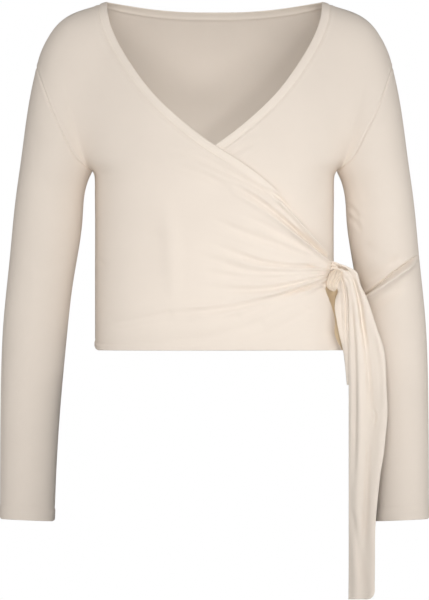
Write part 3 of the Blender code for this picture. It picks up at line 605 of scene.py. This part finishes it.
def front_panel(name, own, over, counts, columns, nodes):
    """A front: straight rows from its side seam to its free edge, bowed up to the shoulder
    line. The over front gathers its middle rows at the knot."""
    free_x, free_z = free_edge(over, counts[-1], 1.0)
    if over:
        stops = (*OVER_SIDE_Z, UNDERARM_Z)
        edge_top = SIDE_EDGE[-1, 0]
        low_z = np.append(hem_rows(edge_top, counts[0]),
                          chain((edge_top, GATHER_TOP[1]), counts[1:2])[:-1])
        low_x = smooth(SIDE_EDGE[:, 0], SIDE_EDGE[:, 1], low_z)
        up = np.maximum(low_z - edge_top, 0) / (GATHER_TOP[1] - edge_top)
        low_x = low_x + (GATHER_TOP[0] - SIDE_EDGE[-1, 1]) * up
        free_x[0], free_z[0] = GATHER_TOP
    else:
        stops = (UNDER_SIDE_Z[0], UNDERARM_Z)
        low_z = hem_rows(UNDER_SIDE_Z[1], counts[0])
        low_x = -smooth(TRUNK[:, 0], TRUNK[:, 1], low_z)
    sides = np.concatenate([hem_rows(stops[0], counts[0]), chain(stops, counts[1:])[:-1],
                            armhole_heights()])
    free_x = np.concatenate([low_x, free_x])
    free_z = np.concatenate([low_z, free_z])
    turn = (1 - np.cos(np.pi * np.linspace(0, 1, columns))) / 2
    side = side_x(sides)[:, None]
    x = side + (free_x[:, None] - side) * turn
    z = sides[:, None] + (free_z - sides)[:, None] * turn
    z += (ridge_z(x[-1]) - z[-1]) * np.linspace(0, 1, len(sides))[:, None] ** 3
    corner = hem_rise(x, z, TRUNK[0, 1])
    z += np.where(x > 0, corner, 0) if over else corner
    edge = np.zeros(x.shape, bool)
    edge[-1] = True
    edge[sides <= UNDERARM_Z, 0] = True
    if not over:
        edge[:len(low_z), -1] = True
    points, normals = form(x * own, z, FRONT, edge)
    from_side, from_free, from_hem, from_top = lengths(points)
    lift = layer(points[..., 0], over) + hem(from_hem, HEM_DEPTH) - seam_dip(from_side, from_top)
    above_gather = z >= free_z[len(low_z)] - 1
    lift -= np.where(above_gather, seam_dip(from_free), 0) * seam_share(points[..., 0], over)
    half_wall = jersey_wall(from_hem, HEM_DEPTH)
    if over:
        lift += gathered(points[..., 0], z) * step_up(from_side, 0, 12)
        flare = np.maximum(smooth(SIDE_EDGE[:, 0], SIDE_EDGE[:, 2], z), 0)
        lift += flare * step_up(points[..., 0], *FLARE_X)
        half_wall = half_wall * np.where(above_gather, 1, rim(from_free))
    else:
        lift += fold_relief(points[..., 0], z, UNDER_FOLDS)
    return cloth_piece(name, points, normals, lift - JERSEY / 2, half_wall, cream_jersey,
                       nodes)


front_under = front_panel("front_under", 1, False, (40, 30), 110, ["front_left"])
front_over = front_panel("front_over", -1, True, (20, 72, 36), 200, ["front_right"])

# ----------------------------------------
# Neckband. One strip of jersey folded double round the whole neck edge. Its base colour is painted
# a little lighter than the single cloth beside it, for the shaded inside that shows less through
# doubled cloth. Its fold is the neck edge, and its raw edges are sewn to the panels.

BAND_COLUMNS = 16
BAND_CLOTH = 1.5             # both layers
BAND_PUFF = 0.45             # how far the folded strip stands up between its fold and its seam
BAND_STAND = 0.25            # and how far all of it stands over the panel

# Partly painted light: doubled cloth of the same cream jersey really hides more of the shaded
# hollow inside, and this lightening is painted into its base colour. The neckband and both ties use
# it.
doubled_jersey_painted_lighter = jersey("doubled_jersey_painted_lighter", (0.872, 0.781, 0.688))


def band_piece(name, x, z, side, edge, lift, nodes, share=1.0):
    """A strip over the form, puffed as a low arch across, round at its fold (first column) and
    drawn in at its seam (last column)."""
    points, normals = form(x, z, side, edge)
    from_fold, from_seam, _, _ = lengths(points)
    across = from_fold / (from_fold + from_seam)
    puff = BAND_PUFF * np.sin(np.pi * across) - SEAM_DIP * hump(from_seam, SEAM_REACH)
    middle = lift - BAND_CLOTH / 2 + puff * share + BAND_STAND
    return cloth_piece(name, points, normals, middle, BAND_CLOTH / 2 * rim(from_fold),
                       doubled_jersey_painted_lighter, nodes)


def band_grid(line):
    """Columns of the strip, closest at its fold and its seam. Each is the line at its share of
    the band's width."""
    shares = np.sin(np.linspace(0, 1, BAND_COLUMNS) * np.pi / 2) ** 2
    return np.moveaxis([line(across) for across in shares], 0, -1)


def front_band(name, own, over, count, nodes):
    """The strip along a front's free edge, up to the shoulder line."""
    x, z = band_grid(lambda across: free_edge(over, count, across))
    edge = np.zeros(x.shape, bool)
    edge[-1] = True
    lift = layer(x * own, over)
    lift += gathered(x * own, z) if over else fold_relief(x * own, z, UNDER_FOLDS)
    return band_piece(name, x * own, z, FRONT, edge, lift, nodes, seam_share(x * own, over))


band_under = front_band("band_under", 1, False, 60, ["neckband_left"])
band_over = front_band("band_over", -1, True, 90, ["neckband_right"])
x, z = band_grid(lambda across: mirrored(back_neck_edge(BAND_WIDTH * across)))
edge = np.zeros(x.shape, bool)
edge[[0, -1]] = True
band_back = band_piece("band_back", x, z, BACK, edge, 0.0 * x, ["neckband_back"])

# ----------------------------------------
# Sleeves. Each is one piece of jersey, sewn into a tapering tube from a dropped armhole to a cuff
# with a turned hem. The wearer's left one is creased across the bend of the elbow.

CUFF_OUTER_Z = -644.6
CUFF_INNER_Z = -647.5
CUFF_DEPTH = 14.0
CUFF_CORNER = 3.0
ELBOW_AT = 0.42              # share of the way down the sleeve
ELBOW_OUTER_Z = -318.0
ELBOW_INNER_Z = -372.0
ELBOW_REACH = 0.06           # the rings lie closer together this far above and below it
RINGS = (62, 64, 84)         # above the elbow, over it and below it
SEAM_BOW_FADES = 0.08        # share of the sleeve over which the armhole seam's bow eases out
SLEEVE_LENGTH = 560.0

# Creases seen from the front, as the wearer's left sleeve has them.
LEFT_SLEEVE_FOLDS = np.array([
    # x, z of four points, depth, width at start, at end, ridge over, under
    (178, -371.4, 201, -354, 226.6, -335.4, 262, -309.4, 5, 1.7, 1.3, 0, 0),
    (176, -379, 202.8, -359.8, 228, -340.6, 255, -320.4, -7.2, 5, 3, 0, 0),
    (172, -364, 192, -349, 212, -334, 238, -315, 4.6, 11, 7, 0.1, 0),
    (174, -394, 196, -379, 218, -364, 242, -349, 3.2, 10, 7, 0, 0.1),
    (163, -252, 170, -256, 176, -263, 181, -272, 0.9, 2.5, 2.5, 0.5, 0.5),
    (165, -266, 172, -270, 178, -277, 183, -287, 0.8, 2.5, 2.5, 0.5, 0.5),
    (186, -300, 200, -312, 216, -318, 236, -316, 0.6, 6, 8, 0.4, 0.3)])
RIGHT_SLEEVE_FOLDS = np.array([
    # x, z of four points, depth, width at start, at end, ridge over, under
    (186, -318, 200, -328, 214, -333, 230, -334, 0.5, 7, 9, 0.4, 0.3)])

# Creases seen from behind, on either sleeve: over the elbow, and a slack turn by the cuff.
SLEEVE_BACK_FOLDS = np.array([
    # x, z of four points, depth, width at start, at end, ridge over, under
    (178, -346, 200, -352, 222, -346, 246, -330, 1.6, 4, 6, 0.6, 0.5),
    (182, -374, 204, -384, 226, -384, 250, -372, 1.1, 5, 7, 0.5, 0.4),
    (168, -284, 188, -298, 210, -304, 236, -300, 0.9, 5, 8, 0.4, 0.3),
    (196, -560, 212, -572, 232, -578, 256, -574, 0.7, 6, 8, 0.4, 0.3)])


def sleeve_tube(name, own, front_folds, nodes):
    """Rings from the slanting armhole seam, level by the cuff: the first half of a ring lies on
    the front of the form and the second on the back."""
    close = 1 - RIM_ROWS[::-1] / SLEEVE_LENGTH
    parts = (0, ELBOW_AT - ELBOW_REACH, ELBOW_AT + ELBOW_REACH, close[0])
    down = [np.linspace(parts[i], parts[i + 1], count)[:-1] for i, count in enumerate(RINGS)]
    down = np.concatenate([*down, close])
    stops = (0, ELBOW_AT, 1)
    outer_z = smooth(stops, (ARMHOLE[-1, 0], ELBOW_OUTER_Z, CUFF_OUTER_Z), down)
    inner_z = smooth(stops, (UNDERARM_Z, ELBOW_INNER_Z, CUFF_INNER_Z), down)
    outer = outer_x(outer_z)
    inner = smooth(ARM[:, 0], ARM[:, 1], inner_z)
    turn = np.pi * np.arange(2 * ARMHOLE_STEPS) / ARMHOLE_STEPS
    across = (1 - np.cos(turn)) / 2
    x = inner[:, None] + (outer - inner)[:, None] * across
    z = inner_z[:, None] + (outer_z - inner_z)[:, None] * across
    seam_bow = side_x(z[0]) - x[0]
    x += seam_bow * np.exp(-(down / SEAM_BOW_FADES) ** 2)[:, None]
    from_side = (0.5 - np.abs(across - 0.5)) * (outer - inner)[:, None]
    past = np.clip(1 - from_side / CUFF_CORNER, 0, 1)
    low = step_up(down, 1 - 20 / SLEEVE_LENGTH, 1)[:, None]
    z += CUFF_CORNER * (1 - np.sqrt(1 - past ** 2)) * low
    edge = np.zeros(x.shape, bool)
    edge[:, [0, ARMHOLE_STEPS]] = True
    front_half, front_normals = form(x, z, FRONT, edge)
    back_half, back_normals = form(x, z, BACK, edge)
    behind = (turn > np.pi + 0.01)[:, None]
    points = np.where(behind, back_half, front_half)
    normals = np.where(behind, back_normals, front_normals)
    before = step_up(np.sin(turn), -0.15, 0.35)
    after = step_up(-np.sin(turn), 0.0, 0.35)
    lift = fold_relief(x, z, front_folds, 0.12, 0.2) * before
    lift += fold_relief(x, z, SLEEVE_BACK_FOLDS, 0.3, 0.4) * after
    _, _, from_seam, from_cuff = lengths(points)
    lift += hem(from_cuff, CUFF_DEPTH) - seam_dip(from_seam)
    points[..., 0] *= own
    normals[..., 0] *= own
    return cloth_piece(name, points, normals, lift - JERSEY / 2,
                       jersey_wall(from_cuff, CUFF_DEPTH), cream_jersey, nodes, tube=True)


right_sleeve = sleeve_tube("right_sleeve", -1, RIGHT_SLEEVE_FOLDS, ["sleeve_right"])
left_sleeve = sleeve_tube("left_sleeve", 1, LEFT_SLEEVE_FOLDS, ["sleeve_left"])

# ----------------------------------------
# Long tie. The over front's free corner runs on into a strip of doubled jersey, which comes over
# the knot, turns down and hangs free with soft lengthwise folds.

TIE_CLOTH = 1.6
TIE_CORNER = 9.0             # radius at its lower left corner
FOLD_TURNS = 3.4             # half waves of fold across
TIE_GRID = (300, 84)

# Its two edges, from under the over front's edge down to its end.
LONG_TIE = np.array([
    # left x, left z, right x, right z, y, fold depth
    (142.6, -333.6, 141.4, -322.4, -47.4, 0), (148.6, -333.6, 147.2, -323, -49.4, 0),
    (154.8, -334.6, 153.2, -325, -52.2, 0.4), (158.6, -337.6, 163, -328.6, -55, 0.6),
    (159.4, -342.5, 171.5, -332.6, -56.8, 1), (161.4, -349, 177.4, -337, -58, 1.4),
    (164.2, -357, 180, -345.5, -58.2, 1.7), (166, -368, 183, -355.5, -58, 1.9),
    (166.8, -381, 188.4, -366, -57.2, 2), (167.1, -396, 195, -384, -56.2, 2.2),
    (167.1, -419, 203, -409, -55.2, 2.4), (167.1, -441, 211.4, -436, -54.2, 2.5),
    (167.1, -470, 213.6, -468, -53.8, 2.4), (167.1, -496, 215, -496, -53.5, 2.4),
    (167.1, -520, 215, -520, -53.2, 2.3), (167.1, -542, 212.8, -542, -53, 2.2),
    (167.1, -564, 210.6, -564, -53, 2), (167.1, -586, 206.8, -586, -53, 1.9),
    (167.1, -609, 204.2, -609, -53, 1.8), (167.1, -652, 200.4, -652, -53, 1.8),
    (167.1, -696, 199.8, -696, -53, 1.6), (166.8, -744, 199, -744, -53, 1.2)])

# Short creases where it turns over the knot, then long ones down its length.
TIE_FOLDS = np.array([
    # x, z of four points, depth, width at start, at end, ridge over, under
    (151, -328.6, 156, -330.2, 162, -332, 169, -337.4, 3.8, 1.3, 1.1, 0.1, 0.1),
    (143, -325.4, 148, -326.4, 153, -328, 160, -331.2, 1.3, 1, 0.9, 0.2, 0.5),
    (143, -330, 148, -330.2, 152, -330.8, 157, -332.6, 1.3, 0.9, 0.9, 0.2, 0.4),
    (161, -340, 168, -352, 171.5, -374, 173, -406, 1.5, 1.6, 2.4, 0.6, 0.5),
    (171, -341, 178, -362, 184, -396, 189, -440, 1.6, 2.4, 3.6, 0.6, 0.5),
    (152, -328.2, 156, -329.8, 160, -331.6, 165, -334.4, 3.2, 0.9, 0.9, 0, 0),
    (180, -378, 187, -420, 192, -470, 195, -530, 1.5, 2.2, 3, 0.6, 0.4),
    (170, -376, 174.5, -430, 175.5, -520, 174, -620, 1.7, 2.2, 2.8, 0.6, 0.5),
    (196, -404, 203, -440, 206.5, -476, 206, -520, 1.1, 2.6, 3.2, 0.5, 0.3),
    (198, -506, 200.5, -514, 200, -522, 197.5, -532, 1, 1.4, 1.4, 0.6, 0.6),
    (193, -536, 191, -580, 189, -630, 187, -690, 1.1, 2.4, 3, 0.6, 0.4),
    (171, -628, 176, -662, 181, -700, 184, -738, 1.4, 3.2, 4.2, 0.6, 0.3)])


def grid_normals(points):
    """Unit normals of a grid from the run of its rows and columns."""
    normal = np.cross(np.gradient(points, axis=0), np.gradient(points, axis=1))
    return normal / np.linalg.norm(normal, axis=-1, keepdims=True)


# Grid rows follow the table's rows, closest at the end. Points crowd to the two edges.
stations = np.arange(len(LONG_TIE))
last = stations[-1]
at = np.append(np.linspace(0, last - 0.04, TIE_GRID[0])[:-1],
               last - 0.04 * np.linspace(1, 0, 7) ** 2)
lx, lz, rx, rz, y, wave = (smooth(stations, column, at)[:, None] for column in LONG_TIE.T)
t = (1 - np.cos(np.pi * np.linspace(0, 1, TIE_GRID[1]))) / 2
x = lx + (rx - lx) * t
z = lz + (rz - lz) * t
to_corner = np.clip(1 - (rx - x) / TIE_CORNER, 0, 1)
z += TIE_CORNER * (1 - np.sqrt(1 - to_corner ** 2)) * step_up(at, last - 0.5, last)[:, None]
points = np.stack([x, y + wave * np.cos(FOLD_TURNS * np.pi * t), z], axis=-1)
normals = grid_normals(points)
normals *= -np.sign(normals[..., 1].mean())
from_left, from_right, _, from_end = lengths(points)
lift = fold_relief(x, z, TIE_FOLDS, 0.2, 0.3) * step_up(np.minimum(from_left, from_right), 0, 3)
half_wall = TIE_CLOTH / 2 * rim(from_left) * rim(from_right) * rim(from_end)
tie_long = cloth_piece("tie_long_strip", points, normals, lift, half_wall, doubled_jersey_painted_lighter,
                       ["tie_long"])

# ----------------------------------------
# Short tie. A strip of jersey sewn into the wearer's left side seam comes forward under the knot,
# turns over inside it and falls short to a point, one part of it folded behind the other.

SHORT_TIE_TURN = 0.02        # roundness of the lengthwise fold between its two parts
SHORT_TIE_RIM = 1.5          # height of the rounding at its point
SHORT_TIE = np.array([
    # height, back x, back y, left x, left y, right x, right y
    (-339, 153.6, -48.5, 154.4, -51, 158.6, -53),
    (-346, 152, -46.5, 151.6, -54.5, 163, -55),
    (-353, 152.6, -44, 150.4, -54.5, 167, -55),
    (-358, 155, -42, 152.6, -52.5, 169.4, -53.5),
    (-362, 156, -41, 152.8, -50.5, 170.6, -52.5),
    (-366, 155.6, -40.5, 150.8, -49.5, 171, -52),
    (-372, 154, -39.5, 149.2, -48.5, 171, -51.5),
    (-381, 153.4, -39, 148.6, -47.5, 171, -51),
    (-395, 155, -38, 150.9, -46.8, 171, -50.5),
    (-408, 157, -37.5, 153.3, -46, 171, -50),
    (-422, 160, -37.5, 156.8, -45.4, 170.8, -49.5),
    (-436, 162.8, -38, 160.2, -45, 170.4, -49),
    (-454, 165, -40.5, 162.6, -46, 169.6, -49),
    (-477, 166.4, -45, 165, -47, 168.4, -49)])
SHORT_TIE_FOLDS = np.array([
    # x, z of four points, depth, width at start, at end, ridge over, under
    (157, -342, 161, -356, 163, -384, 165, -440, 2.6, 1.3, 1, 0.7, 0.4),
    (154, -356, 157, -372, 158, -400, 162, -440, 0.7, 1.6, 1.4, 0.6, 0.4)])

# Its root lies flat from under the gathered edge round to the side seam.
TIE_ROOT = np.array([
    # height, hidden end x, y, middle x, y, bend x, y
    (-337, 142, -45.2, 148.6, -37, 153, -27),
    (-346, 138, -51.4, 147.4, -38.4, 153.4, -27),
    (-356, 136.2, -54, 146.8, -38.8, 154.2, -27),
    (-366, 136.6, -53, 147, -38.2, 154.6, -27),
    (-378, 140.4, -48.6, 147.6, -37, 154.4, -26.5),
    (-392, 143.4, -43.6, 148.8, -35, 154.4, -26),
    (-408, 145, -41.6, 150, -33, 155.6, -25),
    (-422, 146, -38.6, 151.6, -30.5, 157.4, -25),
    (-434, 147, -35, 153.6, -29.5, 160, -26)])
TIE_ROOT_STOPS = (0.0, 0.25, 0.5, 1.0)  # shares of the way at which it passes them
SIDE_SEAM = (151.2, -8.0)

# From its left edge the strip runs in front to the right edge, and behind to the back edge.
tip = SHORT_TIE[-1, 0]
at = np.append(np.linspace(SHORT_TIE[0, 0], tip + SHORT_TIE_RIM, 130)[:-1],
               np.linspace(tip + SHORT_TIE_RIM, tip, 6))
bx, by, lx, ly, rx, ry = (smooth(SHORT_TIE[:, 0], c, at)[:, None] for c in SHORT_TIE.T[1:])
u = np.linspace(-1, 1, 46)
behind = (np.sqrt(u ** 2 + SHORT_TIE_TURN) - u) / 2
before = (np.sqrt(u ** 2 + SHORT_TIE_TURN) + u) / 2
x = lx + (bx - lx) * behind + (rx - lx) * before
y = ly + (by - ly) * behind + (ry - ly) * before
z = np.broadcast_to(at[:, None], x.shape)
points = np.stack([x, y, z], axis=-1)
normals = grid_normals(points)
from_back, from_right, _, from_end = lengths(points)
lift = fold_relief(x, z, SHORT_TIE_FOLDS, 0.2, 0.3) * step_up(u, 0.1, 0.4)
half_wall = JERSEY / 2 * rim(from_back) * rim(from_right) * rim(from_end)
tie_short = cloth_piece("tie_short_strip", points, normals, lift * np.sign(-normals[..., 1]),
                        half_wall, doubled_jersey_painted_lighter, ["tie_short"])

# Painted shade: the root is the same cream jersey, but its base colour is painted darker and
# browner for the warm shade that falls on it under the knot.
root_jersey_painted_shade = jersey("root_jersey_painted_shade", (0.760, 0.605, 0.405))
at = np.linspace(TIE_ROOT[0, 0], TIE_ROOT[-1, 0], 70)
columns = np.stack([smooth(TIE_ROOT[:, 0], c, at) for c in TIE_ROOT.T[1:]], axis=1)
across = np.linspace(0, 1, 50)
x, y = (np.stack([smooth(TIE_ROOT_STOPS, (*row, SIDE_SEAM[i]), across) for row in columns[:, i::2]])
        for i in (0, 1))
points = np.stack([x, y, np.broadcast_to(at[:, None], x.shape)], axis=-1)
from_hidden, _, from_top, from_foot = lengths(points)
half_wall = JERSEY / 2 * rim(from_hidden) * rim(from_top) * rim(from_foot)
tie_root = cloth_piece("tie_short_root", points, grid_normals(points), 0 * half_wall, half_wall,
                       root_jersey_painted_shade, [])

# ----------------------------------------
# Knot. One turn of the doubled strip round the gathered corner and both ties: an upright lobe of
# cloth with fine folds that curve from its top round to its foot.

KNOT = np.array([
    # height, left x, right x, half depth, y
    (-330.5, 150.4, 156, 1.4, -47.6), (-333.5, 148.4, 157.6, 2.4, -51),
    (-337, 144.6, 158.2, 4.2, -55.4), (-341.5, 142.2, 157, 5.6, -59.4),
    (-346.5, 140.4, 155, 6.4, -62.4), (-351.5, 139.6, 153.2, 6.6, -64.4),
    (-355.5, 140.4, 152.6, 5.8, -65), (-358.5, 142.8, 151.8, 4, -64.8),
    (-360.6, 146.4, 150.2, 1.6, -64.4)])
KNOT_FOLDS = np.array([
    # turn at the top, at the foot, depth, width (turns and width in degrees, from +X)
    (-22, -46, 2.6, 9), (-66, -82, 1.6, 6), (-98, -108, 2.2, 7),
    (-128, -142, 1, 8), (-160, -166, 0.6, 9), (150, 140, 0.6, 12)])
KNOT_SKIN = 0.05             # its inner skin lies this far inside the lobe

# Painted shade: the knot is the same cream jersey, with its base colour painted a little darker and
# warmer for the warm shade among its folds.
knot_jersey_painted_shade = jersey("knot_jersey_painted_shade", (0.838, 0.722, 0.596))

at = KNOT[0, 0] + (KNOT[-1, 0] - KNOT[0, 0]) * (1 - np.cos(np.pi * np.linspace(0, 1, 70))) / 2
left, right, half_depth, y = (smooth(KNOT[:, 0], c, at)[:, None] for c in KNOT.T[1:])
turn = np.linspace(-np.pi, np.pi, 96, endpoint=False)
share = (at - at[0])[:, None] / (at[-1] - at[0])
closing = np.sqrt(np.maximum(1 - (2 * share - 1) ** 8, 0.0))
x = (left + right) / 2 + (right - left) / 2 * closing * np.cos(turn)
y = y + half_depth * closing * np.sin(turn)
points = np.stack([x, y, np.broadcast_to(at[:, None], x.shape)], axis=-1)
relief = np.zeros(x.shape)
for top_turn, foot_turn, deep, width in KNOT_FOLDS:
    place = np.radians(top_turn + (foot_turn - top_turn) * share)
    off = np.degrees(np.abs((turn - place + np.pi) % (2 * np.pi) - np.pi))
    relief += deep * (0.6 * hump(off - 2 * width, 1.2 * width) - hump(off, width))
relief *= np.sin(np.pi * share) ** 0.6
outwards = np.stack([np.cos(turn), np.sin(turn), 0 * turn], axis=-1) + np.zeros(points.shape)
knot_turn = cloth_piece("knot_turn", points, outwards, (relief - KNOT_SKIN) / 2,
                        (relief + KNOT_SKIN) / 2, knot_jersey_painted_shade, ["knot"], tube=True)

# ----------------------------------------
# Studio. A pale paper floor at the height of a standing wearer's feet and a white surround. Soft
# lights shine from both sides, above and below, with a spot on the chest and a faint light inside.

FLOOR_Z = -1350.0
FLOOR_RADIUS = 6000.0
SURROUND_LIGHT = 0.26
SCREEN_RADII = (165.0, 116.0)
SCREEN_Z = (-460.0, -1100.0)
FRAME_HEIGHT = 750.0         # what the camera sees from top to bottom at the shoulder plane
FRAME_MIDDLE_Z = -371.25
CAMERA_DISTANCE = 14000.0
SENSOR = 36.0


def studio_piece(name, radii, heights, count, finish, colour):
    """A matt oval at one height, or an open oval tube between two."""
    turn = np.linspace(0, 2 * np.pi, count, endpoint=False)
    ring = np.stack([radii[0] * np.cos(turn), radii[1] * np.sin(turn)], axis=-1) * MM
    faces = [tuple(range(count))]
    if len(heights) > 1:
        faces = [(i, i + count, (i + 1) % count + count, (i + 1) % count) for i in range(count)]
    mesh = bpy.data.meshes.new(name)
    mesh.from_pydata([(a, b, h * MM) for h in heights for a, b in ring], [], faces)
    matt = bpy.data.materials.new(finish)
    matt.use_nodes = True
    fill(matt.node_tree, "Principled BSDF", {"Base Color": (*colour, 1.0), "Roughness": 0.9})
    mesh.materials.append(matt)
    piece = bpy.data.objects.new(name, mesh)
    bpy.context.collection.objects.link(piece)
    return piece


studio_piece("studio_floor", (FLOOR_RADIUS, FLOOR_RADIUS), (FLOOR_Z,), 96, "studio_paper",
             (0.86, 0.85, 0.84))

surround = bpy.data.worlds.new("white_surround")
surround.use_nodes = True
tree = surround.node_tree
lit = fill(tree, "ShaderNodeBackground", {
    "Color": (1.0, 0.985, 0.965, 1.0), "Strength": SURROUND_LIGHT})
seen = fill(tree, "Background", {"Color": (1.0, 1.0, 1.0, 1.0), "Strength": 1.0})
rays = tree.nodes.new("ShaderNodeLightPath")
pick = fill(tree, "ShaderNodeMixShader", {
    "Fac": rays.outputs["Is Camera Ray"], 1: lit.outputs[0], 2: seen.outputs[0]})
fill(tree, "World Output", {"Surface": pick.outputs["Shader"]})
bpy.context.scene.world = surround


def light(name, kind, watts, place, aim):
    """A light at a place, turned so that it faces its aim."""
    lamp = bpy.data.lights.new(name, kind)
    lamp.energy = watts
    holder = bpy.data.objects.new(name, lamp)
    bpy.context.collection.objects.link(holder)
    holder.location = place
    holder.rotation_euler = (Vector(aim) - Vector(place)).to_track_quat("-Z", "Y").to_euler()
    return lamp


light("key_light", "AREA", 19.0, (3.1, -0.8, -0.5), (0.0, 0.0, -0.45)).size = 1.2
light("fill_light", "AREA", 14.0, (-3.1, -0.8, -0.5), (0.0, 0.0, -0.45)).size = 1.2
light("top_light", "AREA", 16.5, (0.0, -1.8, 1.1), (0.0, 0.0, -0.1)).size = 0.8
light("low_light", "AREA", 47.0, (0.2, -2.6, -1.5), (0.0, 0.0, -0.5)).size = 1.2
neck_light = light("neck_light", "AREA", 0.07, (0.0, -0.03, -0.27), (0.0, 0.1, 0.0))
neck_light.size = 0.12
neck_light.color = (0.88, 0.96, 1.0)
chest_light = light("chest_light", "SPOT", 120.0, (0.5, -2.6, -0.4), (0.04, 0.0, -0.37))
chest_light.spot_size = 0.20
chest_light.spot_blend = 1.0
chest_light.shadow_soft_size = 0.25

# A dark screen, out of the camera's sight, stands where a wearer's hips would and keeps each side
# light off the inner side of the far sleeve.
hip_screen = studio_piece("hip_screen", SCREEN_RADII, SCREEN_Z, 48, "black_felt",
                          (0.03, 0.03, 0.03))
hip_screen.visible_camera = False

camera_data = bpy.data.cameras.new("camera")
camera_data.sensor_width = SENSOR
camera_data.lens = SENSOR * CAMERA_DISTANCE / FRAME_HEIGHT
camera = bpy.data.objects.new("camera", camera_data)
camera.location = (0.0, -CAMERA_DISTANCE * MM, FRAME_MIDDLE_Z * MM)
camera.rotation_euler = (np.pi / 2, 0.0, 0.0)
bpy.context.collection.objects.link(camera)
bpy.context.scene.camera = camera
bpy.context.scene.view_settings.view_transform = "Standard"
